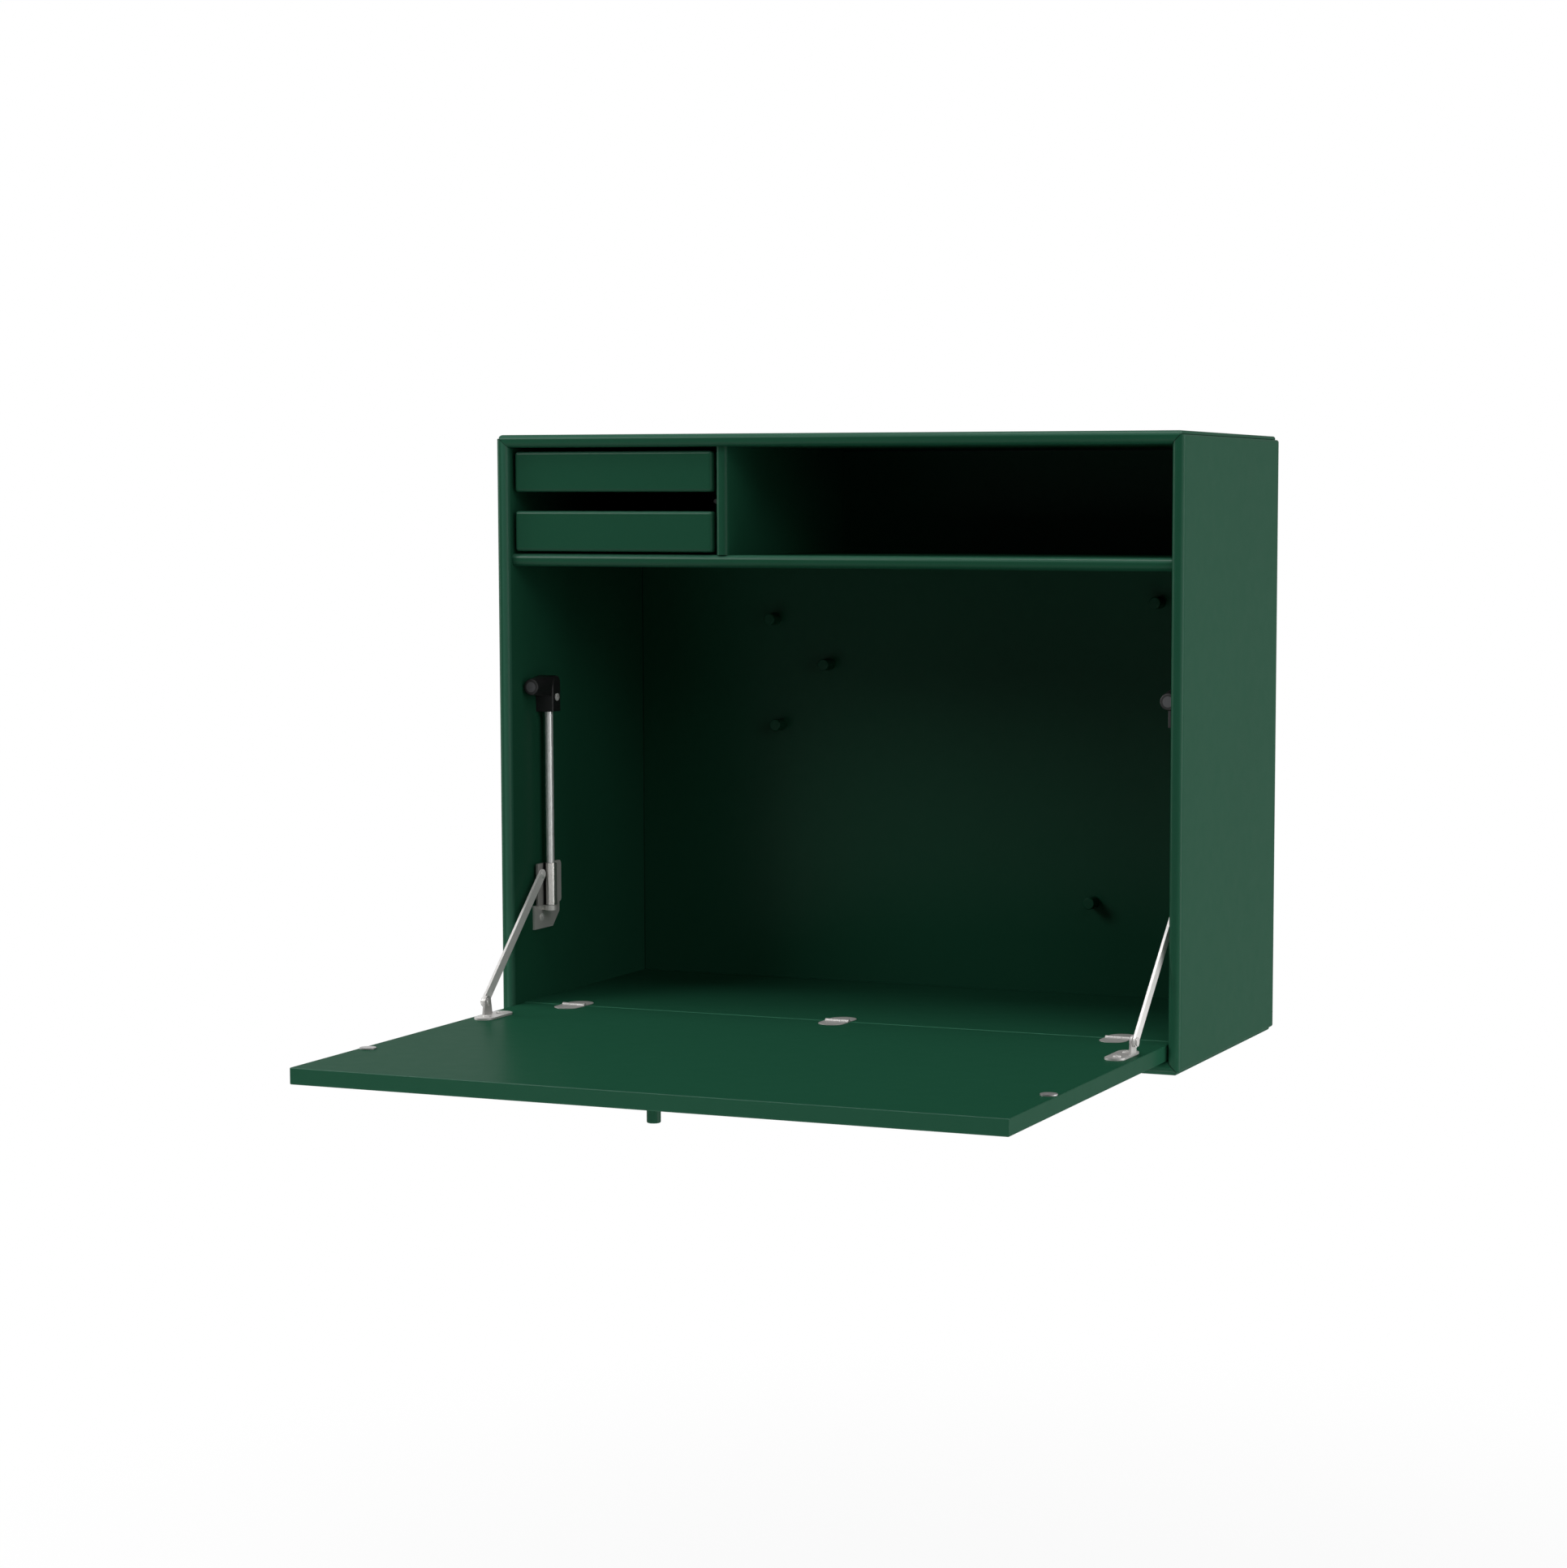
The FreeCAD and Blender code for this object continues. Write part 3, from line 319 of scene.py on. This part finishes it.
def elbow(side):
    """A head whose magnet tube runs into the block in one rounded form, as a moulding does.

    A web is stretched from the tube's rim to the block's top, just under the block's own skin.
    """
    tube_radius = 0.00775
    rim_length = 0.0012
    rim_steps = 48
    block_ahead_of_rod = 0.004
    half_web = 0.0075
    chin_below_tube = 0.010
    under_skin = 0.98
    slack = 0.0001
    rod_low, rod_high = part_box(f"{side}_stay_rod")
    magnet_low, magnet_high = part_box(f"{side}_stay_magnet")
    axis = (magnet_low + magnet_high) / 2
    centre = Vector((axis.x, (rod_low.y + rod_high.y) / 2, axis.z))
    rim = Vector((axis.x, magnet_low.y + rim_length, axis.z))
    front = rod_low.y - block_ahead_of_rod
    block = bmesh.new()
    block.from_mesh(nodes[f"{side}_stay_head"].data)
    bmesh.ops.remove_doubles(block, verts=block.verts, dist=0.000001)
    for face in block.faces:
        face.smooth = False
    web = bmesh.new()
    for vert in block.verts:
        if vert.co.z > axis.z and vert.co.y > front - slack:
            web.verts.new(centre + (vert.co - centre) * under_skin)
    for step in range(rim_steps):
        angle = math.tau * step / rim_steps
        web.verts.new(rim + Vector((math.cos(angle), 0, math.sin(angle))) * tube_radius)
    for across in (-half_web, half_web):
        web.verts.new((axis.x + across, front + slack, axis.z - chin_below_tube))
    bmesh.ops.convex_hull(web, input=web.verts)
    spare = [vert for vert in web.verts if not vert.link_faces]
    bmesh.ops.delete(web, geom=spare, context="VERTS")
    bmesh.ops.recalc_face_normals(web, faces=web.faces)
    for face in web.faces:
        face.smooth = True
    mesh = bpy.data.meshes.new(f"{side}_stay_elbow")
    web.to_mesh(mesh)
    web.free()
    mesh.set_sharp_from_angle(angle=crease)
    block.from_mesh(mesh)
    block.to_mesh(mesh)
    block.free()
    mesh.materials.append(plastic)
    return put(f"{side}_stay_elbow", mesh)


for side in ("left", "right"):
    stay_elbow = elbow(side)
    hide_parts(f"{side}_stay_head")
    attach(stay_elbow, "cabinet")

# Magnets: dull grey round bars, ground flat at the end and pressed into the stay heads.
# The grinding leaves fine scratches across the face.
dull = plated("ground magnet", dark=(0.085, 0.085, 0.090, 1), light=(0.12, 0.12, 0.127, 1),
              smooth=0.36, rough=0.50, metal=0.5, stretch=(7, 7, 1))
dress(dull, "left_stay_magnet", "right_stay_magnet")

# Rods: 8 mm drawn steel bar, polished along its length and chromed.
# Each stands between a stay head and a foot, and guides the slider.
chrome = plated("chromed bar", dark=(0.80, 0.80, 0.79, 1), light=(0.90, 0.90, 0.89, 1),
                smooth=0.24, rough=0.30, metal=0.45, stretch=(9, 9, 0.3))
dress(chrome, "left_stay_rod", "right_stay_rod")

# Feet, arms and brackets: stamped steel, satin nickel plated. The feet are screwed to the
# sides and the brackets to the flap, and rivets join the arms to the sliders and the brackets.
dark_stamping = (0.62, 0.60, 0.575, 1)
light_stamping = (0.72, 0.70, 0.675, 1)
drawn_upright = (7, 7, 1)
stamped = plated("satin nickel on stampings", dark=dark_stamping, light=light_stamping,
                 smooth=0.26, rough=0.38, metal=0.4, stretch=drawn_upright)
# Painted light: the arms and their rivets have a lighter, less metallic copy of the satin nickel.
lightened_bar_nickel = plated("satin nickel lightened on the arms", dark=(0.76, 0.745, 0.725, 1), light=(0.86, 0.845, 0.825, 1),
             smooth=0.30, rough=0.40, metal=0.25, stretch=drawn_upright)
for side in ("left", "right"):
    dress(stamped, f"{side}_stay_foot")
    dress(lightened_bar_nickel, f"{side}_arm", f"{side}_arm_rivet")
    dress(nickel, f"{side}_bracket", f"{side}_bracket_rivet")

# Sliders: sheet steel folded round the rod, nickel plated. Running up and down has polished the sleeve's
# front.
# Painted shade: the fold between the sleeve and its front flange is near black, and the front flange a
# darker grey.
sleeve_radius = 0.0066
sleeve_back = 0.0010
flange_back = -0.0067
fold_back = -0.0030
fold_front = -0.0080
fold_inner_side = 0.0012
# Painted shade: a darker grey for the front flange and near black for the fold.
flange_shade_grey = (0.33, 0.32, 0.31, 1)
fold_shade_black = (0.010, 0.010, 0.010, 1)
slider_nickel, shader, place = new_finish("satin nickel on the sliders")
rod_low, rod_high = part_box("right_stay_rod")
outward = abs(place.part("X")) - (rod_low.x + rod_high.x) / 2
depth = place.part("Y") - (rod_low.y + rod_high.y) / 2
polished = distance(outward, depth).below(sleeve_radius, soft=0.0002) * depth.below(sleeve_back, soft=0.0006)
flange_shade = depth.below(flange_back, soft=0.0003)
behind_flange = depth.below(fold_back, soft=0.0004) * (1 - depth.below(fold_front, soft=0.0006))
fold_shade = behind_flange * (1 - outward.below(fold_inner_side, soft=0.0006))
lines = place.stretched(drawn_upright).noise(scale=260, detail=1)
tone = flange_shade.between(lines.between(dark_stamping, light_stamping), flange_shade_grey)
feed(shader, "Base Color", fold_shade.between(tone, fold_shade_black))
feed(shader, "Roughness", lines * 0.08 + 0.30 - polished * 0.12)
feed(shader, "Metallic", polished * 0.45 + 0.4 - fold_shade * 0.4)
dress(slider_nickel, "left_slider", "right_slider")


# Screws: pan heads with a cross recess, nickel plated, driven into the sides and the flap.
# Two hold each stay and two hold each bracket.
def screw_maker(finish):
    """Geometry Nodes: a screw on each point, along the point's facing, turned at random."""
    tree = bpy.data.node_groups.new("cross recess screws", "GeometryNodeTree")
    tree.interface.new_socket("Points", in_out="INPUT", socket_type="NodeSocketGeometry")
    for name in ("Head Radius", "Head Height", "Shank Radius", "Recess Width"):
        tree.interface.new_socket(name, in_out="INPUT", socket_type="NodeSocketFloat")
    tree.interface.new_socket("Seed", in_out="INPUT", socket_type="NodeSocketInt")
    tree.interface.new_socket("Screws", in_out="OUTPUT", socket_type="NodeSocketGeometry")
    given = tree.nodes.new("NodeGroupInput")
    size = {socket.name: Wire(tree, socket) for socket in given.outputs if socket.name}
    wire = Wire(tree)
    head_radius = size["Head Radius"]
    head_height = size["Head Height"]

    def vector(**parts):
        return wire.add("ShaderNodeCombineXYZ", {}, parts)

    def moved(shape, offset):
        return wire.add("GeometryNodeTransform", {}, {"Geometry": shape, "Translation": offset})

    head = wire.add("GeometryNodeMeshCylinder", {},
                    {"Vertices": 40, "Side Segments": 2, "Fill Segments": 6,
                     "Radius": head_radius, "Depth": head_height}, "Mesh")
    spot = wire.add("GeometryNodeInputPosition", {}, {})
    x = spot.part("X")
    y = spot.part("Y")
    reach = (x * x + y * y) / (head_radius * head_radius)
    upper = wire.maths("GREATER_THAN", spot.part("Z"), head_height * 0.1)
    rounding = vector(Z=reach * upper * head_height * -0.6)
    head = wire.add("GeometryNodeSetPosition", {}, {"Geometry": head, "Offset": rounding})
    head = moved(head, vector(Z=head_height * 0.5))
    recess_wide = size["Recess Width"]
    recess_long = head_radius * 1.15
    full_up = vector(Z=head_height)
    for along_x, along_y in ((recess_long, recess_wide), (recess_wide, recess_long)):
        blade_size = vector(X=along_x, Y=along_y, Z=head_height * 1.2)
        blade = moved(wire.add("GeometryNodeMeshCube", {}, {"Size": blade_size}, "Mesh"), full_up)
        head = wire.add("GeometryNodeMeshBoolean", {"operation": "DIFFERENCE"}, {0: head, 1: blade}, "Mesh")
    shank = wire.add("GeometryNodeMeshCylinder", {},
                     {"Vertices": 24, "Radius": size["Shank Radius"], "Depth": 1.0}, "Mesh")
    shank = moved(shank, vector(Z=-0.5))
    facing = wire.add("GeometryNodeInputNamedAttribute", {"data_type": "FLOAT_VECTOR"}, {"Name": "facing"})
    bite = wire.add("GeometryNodeInputNamedAttribute", {"data_type": "FLOAT"}, {"Name": "bite"})
    turned = wire.add("FunctionNodeAlignRotationToVector", {"axis": "Z"}, {"Vector": facing})
    chance = wire.add("FunctionNodeRandomValue", {"data_type": "FLOAT"},
                      {2: 0.0, 3: math.pi / 2, "Seed": size["Seed"]}, 1)
    twist = wire.add("FunctionNodeAxisAngleToRotation", {}, {"Axis": (0, 0, 1), "Angle": chance})
    turned = wire.add("FunctionNodeRotateRotation", {"rotation_space": "LOCAL"},
                      {"Rotation": turned, "Rotate By": twist})
    heads = wire.add("GeometryNodeInstanceOnPoints", {},
                     {"Points": size["Points"], "Instance": head, "Rotation": turned})
    stretch = vector(X=1.0, Y=1.0, Z=bite)
    shanks = wire.add("GeometryNodeInstanceOnPoints", {},
                      {"Points": size["Points"], "Instance": shank, "Rotation": turned, "Scale": stretch})
    joined = wire.add("GeometryNodeJoinGeometry", {}, {0: heads})
    tree.links.new(shanks.socket, joined.socket.node.inputs[0])
    real = wire.add("GeometryNodeRealizeInstances", {}, {"Geometry": joined})
    done = wire.add("GeometryNodeSetMaterial", {}, {"Geometry": real, "Material": finish})
    output = tree.nodes.new("NodeGroupOutput")
    tree.links.new(done.socket, output.inputs[0])
    return tree


def screws(name, tree, spots, seed):
    """One mesh of screws, from triples of place, facing and length under the head."""
    points = bpy.data.meshes.new(f"{name}_points")
    points.from_pydata([spot[0] for spot in spots], [], [])
    points.attributes.new("facing", "FLOAT_VECTOR", "POINT")
    points.attributes.new("bite", "FLOAT", "POINT")
    for index, spot in enumerate(spots):
        points.attributes["facing"].data[index].vector = spot[1]
        points.attributes["bite"].data[index].value = spot[2]
    holder = put(name, points)
    made = holder.modifiers.new("screws", "NODES")
    made.node_group = tree
    sizes = {"Head Radius": 0.00375, "Head Height": 0.0015, "Shank Radius": 0.00175,
             "Recess Width": 0.0009, "Seed": seed}
    for item in tree.interface.items_tree:
        if item.name in sizes:
            made[item.identifier] = sizes[item.name]
    ready = holder.evaluated_get(bpy.context.evaluated_depsgraph_get())
    mesh = bpy.data.meshes.new_from_object(ready)
    holder.modifiers.clear()
    holder.data = mesh
    mesh.polygons.foreach_set("use_smooth", [True] * len(mesh.polygons))
    mesh.set_sharp_from_angle(angle=crease)
    return holder


bright = plated("nickel on screws", dark=(0.70, 0.69, 0.67, 1), light=(0.82, 0.81, 0.79, 1),
                smooth=0.30, rough=0.40, metal=0.35, stretch=(3, 3, 3))
screw_tree = screw_maker(bright)
head_screw = (0.3170, -0.2380, -0.1922)
head_screw_bite = 0.027
foot_screw = (0.3340, -0.2420, -0.4110)
foot_screw_bite = 0.010
bracket_screw_rows = (-0.3850, -0.3590)
bracket_screw_out = 0.3172
bracket_screw_height = -0.4897
bracket_screw_bite = 0.0098
upwards = (0, 0, 1)
stay_spots = []
bracket_spots = []
for sign in (-1, 1):
    inward = (-sign, 0, 0)
    for (out, y, height), bite in ((head_screw, head_screw_bite), (foot_screw, foot_screw_bite)):
        stay_spots.append(((sign * out, y, height), inward, bite))
    for y in bracket_screw_rows:
        spot = (sign * bracket_screw_out, y, bracket_screw_height)
        bracket_spots.append((spot, upwards, bracket_screw_bite))
stay_screws = screws("stay_screws", screw_tree, stay_spots, 4)
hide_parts("left_stay_screws", "right_stay_screws")
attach(stay_screws, "cabinet")
bracket_screws = screws("bracket_screws", screw_tree, bracket_spots, 9)
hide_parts("left_bracket_screws", "right_bracket_screws")
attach(bracket_screws, "flap")

# Trays: two shallow boxes for pens and paper, lacquered as the case, with rounded front edges.
# They slide on strips glued to the left side and the divider.
for tray in ("tray_lower", "tray_upper"):
    # Painted highlight: each tray front's rounded top edge is painted a lighter green.
    tray_edge = soft_edge(f"{tray}_front", radius=0.003)
    dress(lacquer(f"green lacquer on {tray}", highlight_edge=tray_edge, gain=0.2), f"{tray}_front")
    dress(green, *(f"{tray}_{part}" for part in ("left_side", "right_side", "back", "bottom")))
dress(green, "tray_runners")


# Studio: a pale floor at the height over which a wall desk hangs, and white all round.
# Close under the desk the floor keeps its shadow; farther off it runs into the white.
def rays(wire):
    """1 for rays from the camera, and 1 for rays from shiny or clear surfaces."""
    camera_ray, glossy_ray, clear_ray = (wire.add("ShaderNodeLightPath", {}, {}, f"Is {kind} Ray")
                                         for kind in ("Camera", "Glossy", "Transmission"))
    return camera_ray, glossy_ray + clear_ray


hanging_height = 0.72
ground = cad_box[0][2] - hanging_height
corners = ((-14, -10), (14, -10), (14, 14), (-14, 14))
floor_mesh = bpy.data.meshes.new("studio_floor")
floor_mesh.from_pydata([(x, y, ground) for x, y in corners], [], [(0, 1, 2, 3)])
studio_floor = put("studio_floor", floor_mesh)
pale, shader, place = new_finish("pale floor")
clouds = place.noise(scale=3, detail=2)
feed(shader, "Base Color", clouds.between((0.80, 0.80, 0.80, 1), (0.84, 0.84, 0.84, 1)))
shader.inputs["Roughness"].default_value = 0.9
near = distance(place.part("X"), place.part("Y")).below(limit=0.4, soft=1.2)
shadow_share = 0.09
camera_ray, bounced_ray = rays(place)
seen = place.maths("MAXIMUM", camera_ray, bounced_ray)
white = place.add("ShaderNodeEmission", {}, {"Color": (1, 1, 1, 1), "Strength": 1.0})
matt = Wire(place.tree, shader.outputs[0])
mixed = place.add("ShaderNodeMixShader", {}, {0: seen * (1 - near * shadow_share), 1: matt, 2: white})
place.tree.links.new(mixed.socket, pale.node_tree.nodes["Material Output"].inputs["Surface"])
floor_mesh.materials.append(pale)

world = bpy.data.worlds.new("studio")
world.use_nodes = True
bpy.context.scene.world = world
backdrop = world.node_tree.nodes["Background"]
wire = Wire(world.node_tree)
camera_ray, bounced_ray = rays(wire)
front_dimming = 0.92
depth = wire.add("ShaderNodeTexCoord", {}, {}, "Generated").part("Y")
behind = 1 - depth.below(limit=-0.35, soft=0.6) * front_dimming
strength = wire.maths("MAXIMUM", camera_ray, bounced_ray * behind)
world.node_tree.links.new(strength.socket, backdrop.inputs["Strength"])
backdrop.inputs["Color"].default_value = (1, 1, 1, 1)


# Lamps: seven soft boxes, one overhead, three at the right, two at the left and a small one
# low in front, at the level at which the lacquer shows about its own colour.
def softbox(name, place, aim, width, height, power):
    """A lamp at a place, turned to its aim, with its sides in metres and its power in watts."""
    lamp = bpy.data.lights.new(name, "AREA")
    lamp.shape = "RECTANGLE"
    lamp.size = width
    lamp.size_y = height
    lamp.energy = power
    holder = put(name, lamp)
    holder.location = place
    holder.rotation_euler = (Vector(aim) - Vector(place)).to_track_quat("-Z", "Y").to_euler()


softbox("top", (0.0, -0.9, 2.7), (0.0, -0.5, -0.3), 2.0, 1.4, 42)
softbox("right", (2.8, 0.1, -0.35), (0.3, -0.15, -0.35), 1.8, 1.8, 38)
softbox("right_front", (2.5, -1.6, 0.4), (0.1, -0.3, -0.25), 1.4, 1.6, 11.5)
softbox("right_high", (2.0, -2.2, 1.5), (0.0, -0.3, -0.3), 1.4, 1.4, 13)
softbox("left", (-2.8, -0.6, 0.3), (-0.3, -0.35, -0.3), 1.6, 1.8, 46)
softbox("left_high", (-2.0, -2.2, 1.5), (0.0, -0.3, -0.3), 1.4, 1.4, 35)
softbox("flap_edge", (0.0, -1.1, -1.12), (0.0, -0.7, -0.5), 1.4, 0.2, 5)

# Camera: at the photograph's height and angle. The shift is that of the photograph,
# whose frame is cut off centre.
stand = (1.28756, -3.24249, -0.00406)
yaw = math.radians(21.6912)
pitch = math.radians(5.6273)
roll = math.radians(-0.0691)
camera = put("camera", bpy.data.cameras.new("camera"))
bpy.context.scene.camera = camera
camera.data.sensor_fit = "HORIZONTAL"
camera.data.sensor_width = 36
camera.data.lens = 79.007
camera.data.shift_x = -0.10176
camera.data.shift_y = 0.03848
camera.data.clip_end = 60
ahead = Vector((-math.sin(yaw) * math.cos(pitch), math.cos(yaw) * math.cos(pitch), -math.sin(pitch)))
level = Vector((math.cos(yaw), math.sin(yaw), 0))
down = ahead.cross(level)
right = level * math.cos(roll) + down * math.sin(roll)
up = level * math.sin(roll) - down * math.cos(roll)
turn = Matrix((right, up, -ahead)).transposed().to_4x4()
camera.matrix_world = Matrix.Translation(stand) @ turn
bpy.context.scene.view_settings.view_transform = "Standard"
